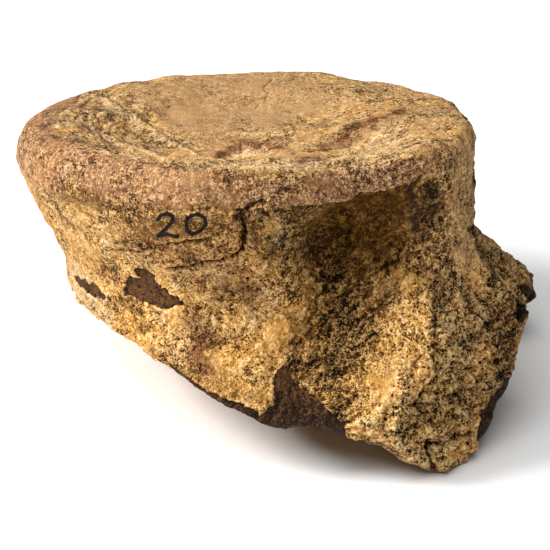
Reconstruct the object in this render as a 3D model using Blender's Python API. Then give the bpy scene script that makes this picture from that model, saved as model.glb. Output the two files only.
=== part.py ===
"""Fossil whale vertebra without its neural arch, lying tilted as it rests on a level floor.

The bone is shaped upright in its own frame: the centrum's axis is Z with the tail-side face on top,
+X is dorsal (towards the broken arch) and -Y is the animal's right side. Depths are measured down
from the crest of the upper rim. The finished body is then tilted, set on the floor and parted with
thin cuts into the centrum, its two end plates and the two stubs of the arch.
"""
from math import cos, pi, radians, sin

import bmesh
import bpy
import numpy as np
from mathutils import Matrix, Vector, noise

# Driving dimensions, in metres. A pair named SPAN gives the two places between which a shape changes:
# cosines or sines of the angle from dorsal, shares of the outline's radius, depths or angles.
FACE_VENTRAL = 0.1085           # upper face, axis to its ventral edge
FACE_DORSAL = 0.1065
FACE_HALF_WIDTH = 0.0975        # upper face, side to side
SQUARENESS = 2.05               # 2 would make the faces ellipses
SQUARENESS_DORSAL = 0.75        # more of it towards the arch
SQUARENESS_LOST_LEFT = 0.8      # share of that missing on the left
SQUARENESS_COSINE_SPAN = (-0.2, 0.9)
SQUARENESS_SINE_SPAN = (0.0, 0.6)
LOWER_VENTRAL = 0.1040
LOWER_DORSAL = 0.1065
LOWER_HALF_WIDTH = 0.0940
CENTRUM_LENGTH = 0.1220         # crest of the upper rim to the lower face

# Upper face: a broad rounded rim round a shallow dish
RIM_DROP_VENTRAL = 0.0190       # crest of the rim to its widest line
RIM_DROP_DORSAL = 0.0095
RIM_CREST_VENTRAL = 0.85        # crest's place, as a share of the outline's radius
RIM_CREST_DORSAL = 0.955
RIM_DROP_COSINE_SPAN = (0.2, 0.95)
RIM_CREST_COSINE_SPAN = (-0.9, 0.8)
RIM_SQUARENESS = 2.4            # 2 would round the rim's outer edge as an ellipse
DISH_EDGE = 0.70                # where the dish begins to fall away
DISH_EDGE_RIGHT = 0.86
DISH_FLOOR = 0.40               # where its floor is reached
DISH_FLOOR_RIGHT = 0.62
DISH_RIGHT_SINE_SPAN = (0.1, 0.9)
DISH_DEPTH = 0.0095
DISH_CENTRE = (-0.024, -0.012)  # deepest place, dorsal and left of the axis
DISH_CENTRE_SPAN = (0.010, 0.085)
DISH_SHALLOWEST = 0.62          # share of the depth far from that place
LIP_DEPTH = 0.0012              # gentle fall from the crest to the dish's edge
LIP_WIDTH = 0.05
FACE_DROOP = 0.0040             # the face sinks a little towards its dorsal left edge
FACE_DROOP_ANGLE = radians(29)
FACE_DROOP_COSINE_SPAN = (0.78, 1.0)
FACE_DROOP_SHARE_SPAN = (0.55, 1.0)

# Sides
VENTRAL_WAIST = 0.0215
SIDE_WAIST = 0.0200
DORSAL_WAIST = 0.0005
VENTRAL_COSINE_SPAN = (0.1, 1.0)
DORSAL_COSINE_SPAN = (0.35, 0.95)
WAIST_TOP = 0.0160              # depths between which the waist draws in and flares again
WAIST_HIGH = 0.0680
WAIST_LOW = 0.0760
WAIST_BOTTOM = 0.1160
HOLLOW_DEPTH = 0.0320           # the pit under the rim on each side of the arch
HOLLOW_ANGLE = radians(53)
HOLLOW_SPREAD = radians(16)
HOLLOW_SPREAD_DORSAL = radians(9)
HOLLOW_LEVEL = 0.0410
HOLLOW_HEIGHT = 0.0220
FURROW_DEPTH = 0.0090           # furrow that runs on from the pit along the foot of the stub
FURROW_HIGH_ANGLE = radians(50)
FURROW_LOW_ANGLE = radians(66)
FURROW_ANGLE_SPAN = (0.050, 0.105)
FURROW_SPREAD = radians(10)
FURROW_START_SPAN = (0.035, 0.060)
FURROW_END_SPAN = (0.095, 0.125)

# Stubs of the arch
STUB_ANGLE = radians(45)        # direction that the broken end faces, from dorsal
STUB_REACH_RIGHT = 0.1235       # axis of the centrum to the broken end
STUB_REACH_LEFT = 0.1335
STUB_RIDGE_RIGHT = 0.0460       # depth where the dorsal edge starts to stand out
STUB_RIDGE_LEFT = 0.0380
STUB_RISE_RIGHT = 0.0510        # and how much further down it stands out fully
STUB_RISE_LEFT = 0.0645
STUB_FLARE_RIGHT = 1.0          # above 1 it stands out slowly at first
STUB_FLARE_LEFT = 1.6
STUB_FRONT_START = 0.0460       # the same two depths at the front edge
STUB_FRONT_END = 0.0840
STUB_FRONT_EDGE = radians(46)
STUB_VALLEY_HIGH = radians(50)  # foot of the stub's front flank, high up and low down
STUB_VALLEY_LOW = radians(77)
STUB_VALLEY_SPAN = (0.050, 0.118)
STUB_FLANK_START = radians(43)
STUB_END_LIMIT = 0.55           # keeps the flat end's plane from running off, in radians
STUB_CANAL_EDGE = radians(17)
CANAL_HALF_ANGLE = radians(5)
CANAL_RADIUS = 0.1090
CANAL_END = 0.0400              # depth where the canal floor is at its full width
STUB_TIP_DEPTH = 0.1500         # lowest end of the right stub
STUB_TIP_ANGLE = radians(37)
STUB_DORSAL_RIGHT = 0.1000      # depth where each stub's dorsal edge ends
STUB_DORSAL_LEFT = 0.1120
TIP_FRONT_SPANS = ((radians(39), radians(62), 0.75), (radians(60), radians(90), 0.25))
TIP_CANAL_START = radians(15)
TIP_CANAL_FLOOR = radians(4)

# Break that took the lower ventral corner off on the right side
BREAK_DEPTH = 0.1410            # depth of the break at the axis
BREAK_SLOPE_DORSAL = 0.69
BREAK_SLOPE_LEFT = 0.27
BREAK_CURL = 0.8                # curl of the break, steeper towards the ventral side
BREAK_CURL_ZEROS = (-0.050, 0.071)
BREAK_CORNER = 0.0080           # more is lost at the ventral edge
BREAK_CORNER_SPAN = (0.068, 0.086)
BREAK_RELIEF = 0.0030
BREAK_RELIEF_SCALE = 34.0       # waves per metre
BREAK_SIZE = 0.32               # extent of the solid that cuts the break
BREAK_CELLS = 14
BREAK_REACH = (-0.12, 0.0, -0.20)

# Underside and edges
LOWER_ROUND = 0.0090
LOWER_DISH_DEPTH = 0.0050
LOWER_DISH_SHARE_SPAN = (0.35, 0.85)
LOWER_HANG_START = 0.0550       # radius where the lower face starts to follow the stubs down
UNDULATION = 0.0012
UNDULATION_SCALE = 26.0         # waves per metre
UNDULATION_LIFT = 0.35          # how far the swells lean outward from level
SECOND_SWELL = 2.1              # the finer swells' scale and offset
SECOND_SWELL_PLACE = (3.0, 7.0, 1.0)

# Pose: lean of the axis away from the right side, and towards ventral
LEAN_BACK = radians(9.2)
LEAN_VENTRAL = radians(1.1)
FLOOR_DEPTH = 0.1325            # floor below the crest's centre, along the vertical

# Parting cuts
CUT_GAP = 0.0003
UPPER_PLATE = 0.0230            # depth of the cut under the upper end plate
LOWER_PLATE = 0.0180            # height of the cut above the lower face
STUB_CUT_REACH = 0.0930         # axis to the stub cut at mid depth
STUB_CUT_LEVEL = 0.0900
STUB_CUT_LEAN = radians(24)
ON_PLANE = 1e-7
WELD = 2e-6

SEGMENTS = 84
SEGMENT_CROWDING = 0.35         # packs the segments round the dorsal side
DISH_RINGS = 5
RIM_RINGS = 6
SIDE_RINGS = 23
ROUND_RINGS = 3
UNDER_RINGS = 5

BONE_COLOURS = {
    "centrum": (0.46, 0.30, 0.14),
    "caudal_end_plate": (0.48, 0.33, 0.19),
    "cranial_end_plate": (0.36, 0.23, 0.11),
    "arch_stub_right": (0.50, 0.34, 0.17),
    "arch_stub_left": (0.40, 0.27, 0.14),
}
BONE_ROUGHNESS = 0.85
SHARP_EDGE = radians(40)


def smooth(x, low, high):
    """0 below low, 1 above high and an even S between them."""
    t = np.clip((x - low) / (high - low), 0.0, 1.0)
    return t * t * (3.0 - 2.0 * t)


def blend(first, second, share):
    return first + (second - first) * share


def ease(x, low, high):
    """Like smooth, but leaving low more briskly."""
    t = np.clip((x - low) / (high - low), 0.0, 1.0)
    return 0.5 * (smooth(t, 0.0, 1.0) + np.sin(0.5 * pi * t))


def bump(x, centre, spread):
    return np.exp(-((x - centre) / spread) ** 2)


def rim_drop(theta):
    """Depth of the rim's widest line: even round the bone, but less where the arch stood."""
    return blend(RIM_DROP_VENTRAL, RIM_DROP_DORSAL, smooth(np.cos(theta), *RIM_DROP_COSINE_SPAN))


def rim_crest(theta):
    """Place of the rim's crest: well in on the ventral side, near the edge on the dorsal."""
    return blend(RIM_CREST_VENTRAL, RIM_CREST_DORSAL, smooth(np.cos(theta), *RIM_CREST_COSINE_SPAN))


def outline(theta, ventral, dorsal, half_width):
    """Oval that is squarer on its dorsal half, where the arch stood, and more so on the right."""
    squarer = SQUARENESS_DORSAL * smooth(np.cos(theta), *SQUARENESS_COSINE_SPAN)
    power = SQUARENESS + squarer * (1.0 - SQUARENESS_LOST_LEFT * smooth(np.sin(theta), *SQUARENESS_SINE_SPAN))
    height = np.where(np.cos(theta) > 0.0, dorsal, ventral)
    across = np.abs(np.cos(theta) / height) ** power
    along = np.abs(np.sin(theta) / half_width) ** power
    return (across + along) ** (-1.0 / power)


def waist_depth(theta):
    """How far the sides draw in: most at the ventral keel, least under the arch."""
    ventral = smooth(-np.cos(theta), *VENTRAL_COSINE_SPAN)
    dorsal = smooth(np.cos(theta), *DORSAL_COSINE_SPAN)
    depth = blend(SIDE_WAIST, VENTRAL_WAIST, ventral)
    return depth + (DORSAL_WAIST - SIDE_WAIST) * dorsal


def stub_weight(angle, depth, ridge, rise, flare):
    """Share of the stub at an angle from dorsal and a depth, its dorsal edge starting at ridge."""
    valley = blend(STUB_VALLEY_HIGH, STUB_VALLEY_LOW, smooth(depth, *STUB_VALLEY_SPAN))
    front = 1.0 - smooth(angle, STUB_FLANK_START, valley)
    canal = smooth(angle, CANAL_HALF_ANGLE, STUB_CANAL_EDGE)
    toward_front = smooth(angle, STUB_CANAL_EDGE, STUB_FRONT_EDGE)
    start = blend(ridge, STUB_FRONT_START, toward_front)
    end = blend(ridge + rise, STUB_FRONT_END, toward_front)
    return front * canal * smooth(depth, start, end) ** flare


def side_radius(theta, depth):
    """Radius of the bone's side at an angle from dorsal and a depth below the crest."""
    upper = outline(theta, FACE_VENTRAL, FACE_DORSAL, FACE_HALF_WIDTH)
    lower = outline(theta, LOWER_VENTRAL, LOWER_DORSAL, LOWER_HALF_WIDTH)
    radius = blend(upper, lower, smooth(depth, WAIST_TOP, CENTRUM_LENGTH))
    drawn_in = ease(depth, WAIST_TOP, WAIST_HIGH) * (1.0 - smooth(depth, WAIST_LOW, WAIST_BOTTOM))
    radius = radius - waist_depth(theta) * drawn_in
    angle = np.abs(theta)
    spread = np.where(angle < HOLLOW_ANGLE, HOLLOW_SPREAD_DORSAL, HOLLOW_SPREAD)
    hollow = bump(angle, HOLLOW_ANGLE, spread) * bump(depth, HOLLOW_LEVEL, HOLLOW_HEIGHT)
    radius = radius - HOLLOW_DEPTH * hollow
    furrow_angle = blend(FURROW_HIGH_ANGLE, FURROW_LOW_ANGLE, smooth(depth, *FURROW_ANGLE_SPAN))
    furrow = bump(angle, furrow_angle, FURROW_SPREAD) * smooth(depth, *FURROW_START_SPAN)
    radius = radius - FURROW_DEPTH * furrow * (1.0 - smooth(depth, *FURROW_END_SPAN))
    canal = 1.0 - smooth(angle, CANAL_HALF_ANGLE, STUB_CANAL_EDGE)
    below_rim = smooth(depth, RIM_DROP_DORSAL, CANAL_END)
    radius = blend(radius, np.minimum(radius, CANAL_RADIUS), canal * below_rim)
    right = theta < 0.0
    reach = np.where(right, STUB_REACH_RIGHT, STUB_REACH_LEFT)
    ridge = np.where(right, STUB_RIDGE_RIGHT, STUB_RIDGE_LEFT)
    rise = np.where(right, STUB_RISE_RIGHT, STUB_RISE_LEFT)
    flare = np.where(right, STUB_FLARE_RIGHT, STUB_FLARE_LEFT)
    stub_end = reach / np.cos(np.clip(angle - STUB_ANGLE, -STUB_END_LIMIT, STUB_END_LIMIT))
    return blend(radius, stub_end, stub_weight(angle, depth, ridge, rise, flare))


def lower_depth(theta):
    """Depth of the lower edge: the right stub hangs lowest, the stubs' dorsal edges end early."""
    angle = np.abs(theta)
    right = theta < 0.0
    tip = np.where(right, STUB_TIP_DEPTH, CENTRUM_LENGTH)
    dorsal_end = np.where(right, STUB_DORSAL_RIGHT, STUB_DORSAL_LEFT)
    front = sum(part * smooth(angle, start, end) for start, end, part in TIP_FRONT_SPANS)
    depth = blend(tip, CENTRUM_LENGTH, front)
    canal_side = 1.0 - smooth(angle, TIP_CANAL_START, STUB_TIP_ANGLE)
    depth = blend(depth, dorsal_end, canal_side)
    canal = 1.0 - smooth(angle, TIP_CANAL_FLOOR, TIP_CANAL_START)
    return blend(depth, CENTRUM_LENGTH, canal)


def face_depth(x, y, share, theta):
    """Depth of the upper face below the crest at a point, share being its share of the outline."""
    crest = rim_crest(theta)
    outer = np.clip((share - crest) / (1.0 - crest), 0.0, 1.0)
    rounding = rim_drop(theta) * (1.0 - (1.0 - outer ** RIM_SQUARENESS) ** (1.0 / RIM_SQUARENESS))
    right = smooth(-np.sin(theta), *DISH_RIGHT_SINE_SPAN)
    edge = blend(DISH_EDGE, DISH_EDGE_RIGHT, right)
    floor = blend(DISH_FLOOR, DISH_FLOOR_RIGHT, right)
    falling = 1.0 - ease(share, floor, edge)
    lip = LIP_DEPTH * (1.0 - smooth(share, edge - LIP_WIDTH, crest))
    toward_droop = smooth(np.cos(theta - FACE_DROOP_ANGLE), *FACE_DROOP_COSINE_SPAN)
    droop = toward_droop * smooth(share, *FACE_DROOP_SHARE_SPAN)
    offset = np.hypot(x - DISH_CENTRE[0], y - DISH_CENTRE[1])
    deepest = blend(1.0, DISH_SHALLOWEST, smooth(offset, *DISH_CENTRE_SPAN))
    return rounding + lip + FACE_DROOP * droop + DISH_DEPTH * falling * deepest


def wander(x, y, z):
    """Low swells of the surface, at most about UNDULATION high."""
    at = Vector((x, y, z)) * UNDULATION_SCALE
    finer = at * SECOND_SWELL + Vector(SECOND_SWELL_PLACE)
    return UNDULATION * (noise.noise(at) + 0.5 * noise.noise(finer))


def ring_points(theta):
    """Rings of points from the upper pole's neighbour down to the lower pole's."""
    rings = []
    drop = rim_drop(theta)
    rim = side_radius(theta, drop)
    shares = [DISH_EDGE * (i + 1) / (DISH_RINGS + 1) for i in range(DISH_RINGS)]
    for i in range(RIM_RINGS + 1):
        shares.append(DISH_EDGE + (1.0 - DISH_EDGE) * sin(0.5 * pi * i / RIM_RINGS))
    for share in shares:
        x = share * rim * np.cos(theta)
        y = share * rim * np.sin(theta)
        rings.append((x, y, -face_depth(x, y, share, theta)))
    bottom = lower_depth(theta)
    edge_top = bottom - LOWER_ROUND
    for i in range(1, SIDE_RINGS + 1):
        depth = drop + (edge_top - drop) * i / SIDE_RINGS
        radius = side_radius(theta, depth)
        rings.append((radius * np.cos(theta), radius * np.sin(theta), -depth))
    edge = side_radius(theta, edge_top)
    for i in range(1, ROUND_RINGS + 1):
        turn = 0.5 * pi * i / ROUND_RINGS
        radius = edge - LOWER_ROUND * (1.0 - cos(turn))
        depth = edge_top + LOWER_ROUND * sin(turn)
        rings.append((radius * np.cos(theta), radius * np.sin(theta), -depth))
    inner = edge - LOWER_ROUND
    for i in range(1, UNDER_RINGS + 1):
        share = 1.0 - i / (UNDER_RINGS + 1)
        radius = inner * share
        hanging = (bottom - CENTRUM_LENGTH) * smooth(radius, LOWER_HANG_START, inner)
        dish = LOWER_DISH_DEPTH * (1.0 - smooth(share, *LOWER_DISH_SHARE_SPAN))
        depth = CENTRUM_LENGTH + hanging - dish
        rings.append((radius * np.cos(theta), radius * np.sin(theta), -depth))
    return rings


def mesh_object(name, bm):
    mesh = bpy.data.meshes.new(name)
    bm.to_mesh(mesh)
    bm.free()
    obj = bpy.data.objects.new(name, mesh)
    bpy.context.collection.objects.link(obj)
    return obj


def whole_bone():
    """One closed skin of rings between two poles."""
    turn = np.linspace(-pi, pi, SEGMENTS, endpoint=False)
    theta = turn - SEGMENT_CROWDING * np.sin(turn)
    bm = bmesh.new()
    loops = []
    for x, y, z in ring_points(theta):
        depth = np.broadcast_to(z, x.shape)
        loop = []
        for px, py, pz in zip(x, y, depth):
            point = Vector((px, py, pz))
            outward = Vector((px, py, UNDULATION_LIFT * (pz + 0.5 * CENTRUM_LENGTH))).normalized()
            loop.append(bm.verts.new(point + outward * wander(px, py, pz)))
        loops.append(loop)
    for upper, lower in zip(loops, loops[1:]):
        for i in range(SEGMENTS):
            j = (i + 1) % SEGMENTS
            bm.faces.new((upper[i], upper[j], lower[j], lower[i]))
    poles = (bm.verts.new((0.0, 0.0, -float(face_depth(0.0, 0.0, 0.0, 0.0)))),
             bm.verts.new((0.0, 0.0, LOWER_DISH_DEPTH - CENTRUM_LENGTH)))
    for i in range(SEGMENTS):
        j = (i + 1) % SEGMENTS
        bm.faces.new((poles[0], loops[0][j], loops[0][i]))
        bm.faces.new((poles[1], loops[-1][i], loops[-1][j]))
    bmesh.ops.triangulate(bm, faces=bm.faces, quad_method="SHORT_EDGE")
    bmesh.ops.recalc_face_normals(bm, faces=bm.faces)
    return mesh_object("vertebra", bm)


def break_cutter():
    """Solid above whose rough upper side the bone is left, and below which it has broken away."""
    bm = bmesh.new()
    grid = []
    for i in range(BREAK_CELLS + 1):
        row = []
        for j in range(BREAK_CELLS + 1):
            x = BREAK_SIZE * (i / BREAK_CELLS - 0.5)
            y = BREAK_SIZE * (j / BREAK_CELLS - 0.5)
            depth = BREAK_DEPTH + BREAK_SLOPE_DORSAL * x + BREAK_SLOPE_LEFT * y
            depth += BREAK_CURL * (x - BREAK_CURL_ZEROS[0]) * (x - BREAK_CURL_ZEROS[1])
            depth -= BREAK_CORNER * float(smooth(-x, *BREAK_CORNER_SPAN))
            depth += BREAK_RELIEF * noise.noise(Vector((x, y, 0.0)) * BREAK_RELIEF_SCALE)
            row.append(bm.verts.new((x, y, -depth)))
        grid.append(row)
    faces = []
    for i in range(BREAK_CELLS):
        for j in range(BREAK_CELLS):
            faces.append(bm.faces.new((grid[i][j], grid[i + 1][j], grid[i + 1][j + 1], grid[i][j + 1])))
    lower = bmesh.ops.extrude_face_region(bm, geom=faces)
    moved = [v for v in lower["geom"] if isinstance(v, bmesh.types.BMVert)]
    bmesh.ops.translate(bm, verts=moved, vec=Vector(BREAK_REACH))
    bmesh.ops.recalc_face_normals(bm, faces=bm.faces)
    cutter = mesh_object("break_cutter", bm)
    cutter.hide_render = True
    cutter.display_type = "WIRE"
    return cutter


def apply_cut(obj, cutter):
    """Takes the cutter's solid out of the object's mesh."""
    boolean = obj.modifiers.new("break", "BOOLEAN")
    boolean.operation = "DIFFERENCE"
    boolean.solver = "EXACT"
    boolean.object = cutter
    bpy.context.view_layer.update()
    evaluated = obj.evaluated_get(bpy.context.evaluated_depsgraph_get())
    mesh = bpy.data.meshes.new_from_object(evaluated)
    obj.modifiers.clear()
    obj.data = mesh
    bpy.data.objects.remove(cutter)


def halved(source, point, normal):
    """Closed mesh of the part of source behind a plane."""
    bm = bmesh.new()
    bm.from_mesh(source)
    geometry = bm.verts[:] + bm.edges[:] + bm.faces[:]
    cut = bmesh.ops.bisect_plane(bm, geom=geometry, dist=ON_PLANE, plane_co=point, plane_no=normal,
                                 clear_outer=True)
    rim = [e for e in cut["geom_cut"] if isinstance(e, bmesh.types.BMEdge) and e.is_boundary]
    bmesh.ops.triangle_fill(bm, use_beauty=True, edges=rim, normal=normal)
    bmesh.ops.remove_doubles(bm, verts=bm.verts, dist=WELD)
    bmesh.ops.triangulate(bm, faces=bm.faces)
    bmesh.ops.recalc_face_normals(bm, faces=bm.faces)
    return bm


def parted(source, point, normal):
    """Two closed meshes, behind and in front of a plane, with the thin cut between them."""
    gap = normal * (0.5 * CUT_GAP)
    behind = halved(source, point - gap, normal)
    front = halved(source, point + gap, -normal)
    meshes = []
    for bm in (behind, front):
        mesh = bpy.data.meshes.new("piece")
        bm.to_mesh(mesh)
        bm.free()
        meshes.append(mesh)
    return meshes


def pose_matrix():
    lean = Matrix.Rotation(-LEAN_BACK, 4, "X") @ Matrix.Rotation(-LEAN_VENTRAL, 4, "Y")
    return Matrix.Translation((0.0, 0.0, FLOOR_DEPTH)) @ lean


def stub_cut(side, pose):
    """Plane across the root of the stub on one side, -1 for right and 1 for left."""
    facing = side * STUB_ANGLE
    around = Vector((cos(facing), sin(facing), 0.0))
    point = around * STUB_CUT_REACH + Vector((0.0, 0.0, -STUB_CUT_LEVEL))
    normal = around * cos(STUB_CUT_LEAN) + Vector((0.0, 0.0, -sin(STUB_CUT_LEAN)))
    return pose @ point, (pose.to_3x3() @ normal).normalized()


def bone_material(name):
    material = bpy.data.materials.new(name)
    material.use_nodes = True
    shader = material.node_tree.nodes["Principled BSDF"]
    shader.inputs["Base Color"].default_value = (*BONE_COLOURS[name], 1.0)
    shader.inputs["Roughness"].default_value = BONE_ROUGHNESS
    shader.inputs["Metallic"].default_value = 0.0
    material.diffuse_color = (*BONE_COLOURS[name], 1.0)
    return material


def finished_node(name, mesh, shift):
    mesh.transform(Matrix.Translation(shift))
    mesh.name = name
    mesh.materials.clear()
    mesh.materials.append(bone_material(name))
    mesh.shade_smooth()
    mesh.set_sharp_from_angle(angle=SHARP_EDGE)
    obj = bpy.data.objects.new(name, mesh)
    bpy.context.collection.objects.link(obj)


def build():
    bone = whole_bone()
    apply_cut(bone, break_cutter())
    pose = pose_matrix()
    bone.data.transform(pose)
    grounded = halved(bone.data, Vector((0.0, 0.0, 0.0)), Vector((0.0, 0.0, -1.0)))
    body = bpy.data.meshes.new("body")
    grounded.to_mesh(body)
    grounded.free()
    bpy.data.objects.remove(bone)

    points = [v.co for v in body.vertices]
    low = [min(p[k] for p in points) for k in range(3)]
    high = [max(p[k] for p in points) for k in range(3)]
    shift = Vector((-0.5 * (low[0] + high[0]), -0.5 * (low[1] + high[1]), 0.0))

    axis = pose.to_3x3() @ Vector((0.0, 0.0, 1.0))
    pieces = {}
    rest, pieces["arch_stub_right"] = parted(body, *stub_cut(-1, pose))
    rest, pieces["arch_stub_left"] = parted(rest, *stub_cut(1, pose))
    upper_point = pose @ Vector((0.0, 0.0, -UPPER_PLATE))
    rest, pieces["caudal_end_plate"] = parted(rest, upper_point, axis)
    lower_point = pose @ Vector((0.0, 0.0, LOWER_PLATE - CENTRUM_LENGTH))
    pieces["cranial_end_plate"], pieces["centrum"] = parted(rest, lower_point, axis)
    for name, mesh in pieces.items():
        finished_node(name, mesh, shift)


for old in list(bpy.data.objects):
    bpy.data.objects.remove(old)
build()
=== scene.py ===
"""Looks of the fossil whale vertebra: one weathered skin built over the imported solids.

The skin starts as a smooth, even mesh over all the solids and is made fine enough to carry relief of
about a millimetre. Relief and colours are then worked into it from two sets of coordinates: the bone's
own (its axis, the angle round it and the depth below the upper rim), which cover every side, and the
550-pixel photograph's, which place the marks that the camera sees. Its material reads the colours as
attributes and adds grain, pores and tints finer than the mesh.
"""
from math import cos, radians, sin

import bmesh
import bpy
import numpy as np
from mathutils import Matrix, Vector

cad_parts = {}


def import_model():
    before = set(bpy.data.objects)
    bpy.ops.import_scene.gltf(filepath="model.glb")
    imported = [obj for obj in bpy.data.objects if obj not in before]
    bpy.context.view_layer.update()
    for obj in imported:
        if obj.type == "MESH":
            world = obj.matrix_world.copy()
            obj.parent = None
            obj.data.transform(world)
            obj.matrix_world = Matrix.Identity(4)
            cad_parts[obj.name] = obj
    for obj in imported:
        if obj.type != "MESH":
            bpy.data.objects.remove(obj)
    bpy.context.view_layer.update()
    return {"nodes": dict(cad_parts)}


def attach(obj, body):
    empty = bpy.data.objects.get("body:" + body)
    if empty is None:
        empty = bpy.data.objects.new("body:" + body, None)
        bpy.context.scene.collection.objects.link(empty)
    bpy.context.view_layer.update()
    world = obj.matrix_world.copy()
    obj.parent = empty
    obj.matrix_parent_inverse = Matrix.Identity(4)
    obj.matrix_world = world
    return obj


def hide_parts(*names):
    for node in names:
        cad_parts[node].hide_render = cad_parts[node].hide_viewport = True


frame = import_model()

# Pose of the bone's own axes in the frame: crest of the upper rim on the axis, and how the axis leans
CREST_CENTRE = np.array((-0.02015, 0.01201, 0.1325))
LEAN_BACK = radians(9.2)
LEAN_VENTRAL = radians(1.1)

# Outline of the upper face
FACE_VENTRAL = 0.1085
FACE_DORSAL = 0.1065
FACE_HALF_WIDTH = 0.0975
SQUARENESS = 2.05
SQUARENESS_DORSAL = 0.75

# Break across the lower face, and the broken ends of the arch stubs
BREAK_DEPTH = 0.1410
BREAK_SLOPE_DORSAL = 0.69
BREAK_SLOPE_LEFT = 0.27
BREAK_CURL = 0.8
BREAK_CURL_ZEROS = (-0.050, 0.071)
STUB_ANGLE = radians(45)
STUB_REACH_RIGHT = 0.1235
STUB_REACH_LEFT = 0.1335

# Camera, which looks along +Y
PHOTO_SIDE = 550                # pixels
PIXEL = 0.00048                 # metres of the bone to a pixel, at the point looked at
CAMERA_DISTANCE = 0.90
CAMERA_ELEVATION = radians(27.8)
LOOK_AT = np.array((-0.0037, 0.0, 0.0540))
SENSOR = 36.0
FLAT_ALLOWANCE = 0.0020         # metres: how far a surface seen face-on may lie behind its neighbours
DEPTH_CELL = 2                  # pixels to a side of the cells that keep the nearest surface
SEEN_FADE = (0.006, 0.010)      # metres behind the nearest surface over which marks fade out
WRAPPED_FADE = (0.008, 0.014)   # the same for the chips, which also reach round the bone's edges

# Mesh of the skin
WELD = 1e-6
OVERLAP = 0.0005                # each solid grows by this, so that the thin cuts close
VOXEL = 0.0020
SMOOTHING_ROUNDS = 26
SHRINK, REGROW = 0.50, -0.53    # share of the way to the neighbours' mean that each half of a round takes
SUBDIVISIONS = 2


def smooth(x, low, high):
    """0 below low, 1 above high and an even S between them."""
    t = np.clip((x - low) / (high - low), 0.0, 1.0)
    return t * t * (3.0 - 2.0 * t)


def blend(first, second, share):
    return first + (second - first) * share


def bump(x, centre, spread):
    return np.exp(-((x - centre) / spread) ** 2)


# ---------------- noise

PRIMES = np.array((374761393, 668265263, 2246822519), np.uint32)


def scrambled(h):
    """Whole numbers from 0 to 2**32 with their bits well mixed."""
    h = (h ^ (h >> np.uint32(15))) * np.uint32(2246822519)
    h = (h ^ (h >> np.uint32(13))) * np.uint32(3266489917)
    return h ^ (h >> np.uint32(16))


def part_of(h, k):
    """One of the three numbers from 0 to 1 that a scrambled number holds."""
    return ((h >> np.uint32(10 * k)) & np.uint32(1023)).astype(np.float32) / np.float32(1023.0)


def lattice(p, seed):
    """For each axis: the place within a cell, and the hashes of the cell and its two neighbours."""
    axes = []
    for k in range(3):
        base = np.floor(p[:, k])
        cell = base.astype(np.int64).astype(np.uint32)
        start = np.uint32(seed * 3266489 + 17) if k == 0 else np.uint32(0)
        hashes = {step: (cell + np.uint32(step % 2**32)) * PRIMES[k] + start for step in (-1, 0, 1)}
        axes.append(((p[:, k] - base).astype(np.float32), hashes))
    return axes


def gradient_noise(p, seed):
    """Smooth noise of about -1 to 1 whose features are one unit apart."""
    axes = lattice(p, seed)
    fades = [f * f * f * (f * (f * 6.0 - 15.0) + 10.0) for f, _ in axes]
    total = np.zeros(len(p), np.float32)
    for corner in np.ndindex(2, 2, 2):
        h = scrambled(sum(hashes[step] for (_, hashes), step in zip(axes, corner)))
        weight, slope = 1.0, 0.0
        for k, ((f, _), step) in enumerate(zip(axes, corner)):
            slope = slope + (part_of(h, k) * 2.0 - 1.0) * (f - step)
            weight = weight * (fades[k] if step else 1.0 - fades[k])
        total += weight * slope
    return total * 2.1


def fractal(p, size, seed, octaves, gain, drift, growth, shape):
    """Layers of shaped noise, each finer by growth and weaker by gain than the one before."""
    total = np.zeros(len(p), np.float32)
    strength, scale = 1.0, 1.0 / size
    for octave in range(octaves):
        total += strength * shape(gradient_noise(p * scale + drift * octave, seed + octave))
        strength *= gain
        scale *= growth
    return total


def cloud(p, size, seed, octaves=3, gain=0.5):
    """Soft noise, its broadest features size metres apart."""
    return fractal(p, size, seed, octaves, gain, 7.3, 2.03, lambda noise: noise)


def lumps(p, size, seed, octaves, gain=0.5):
    """Rounded lumps with sharp clefts between them, from about -1 to 1."""
    return fractal(p, size, seed, octaves, gain, 3.1, 2.1, lambda noise: 3.2 * np.abs(noise) - 1.0)


def cells(p, size, seed):
    """Distance to the nearest seed point, as a share of size, and that point's number from 0 to 1."""
    axes = lattice(p / size, seed)
    nearest = np.full(len(p), np.inf, np.float32)
    number = np.zeros(len(p), np.float32)
    for corner in np.ndindex(3, 3, 3):
        steps = [step - 1 for step in corner]
        h = scrambled(sum(hashes[step] for (_, hashes), step in zip(axes, steps)))
        offsets = [part_of(h, k) + step - f for k, ((f, _), step) in enumerate(zip(axes, steps))]
        away = np.sqrt(offsets[0] ** 2 + offsets[1] ** 2 + offsets[2] ** 2)
        number = np.where(away < nearest, part_of(scrambled(h), 0), number)
        nearest = np.minimum(away, nearest)
    return nearest, number


def stretched(p, direction, length):
    """Points squeezed along a direction, so that noise on them is drawn out that many times."""
    along = np.asarray(direction, np.float64)
    along = along / np.linalg.norm(along)
    return p - np.outer(p @ along, along) * (1.0 - 1.0 / length)


# ---------------- the smooth skin

def placed(name, data):
    """An object of the data, put into the scene."""
    obj = bpy.data.objects.new(name, data)
    bpy.context.scene.collection.objects.link(obj)
    return obj


def object_of(name, bm):
    mesh = bpy.data.meshes.new(name)
    bm.to_mesh(mesh)
    bm.free()
    return placed(name, mesh)


def read_vectors(items, name):
    values = np.empty(len(items) * 3, np.float32)
    items.foreach_get(name, values)
    return values.reshape(-1, 3).astype(np.float64)


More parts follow.
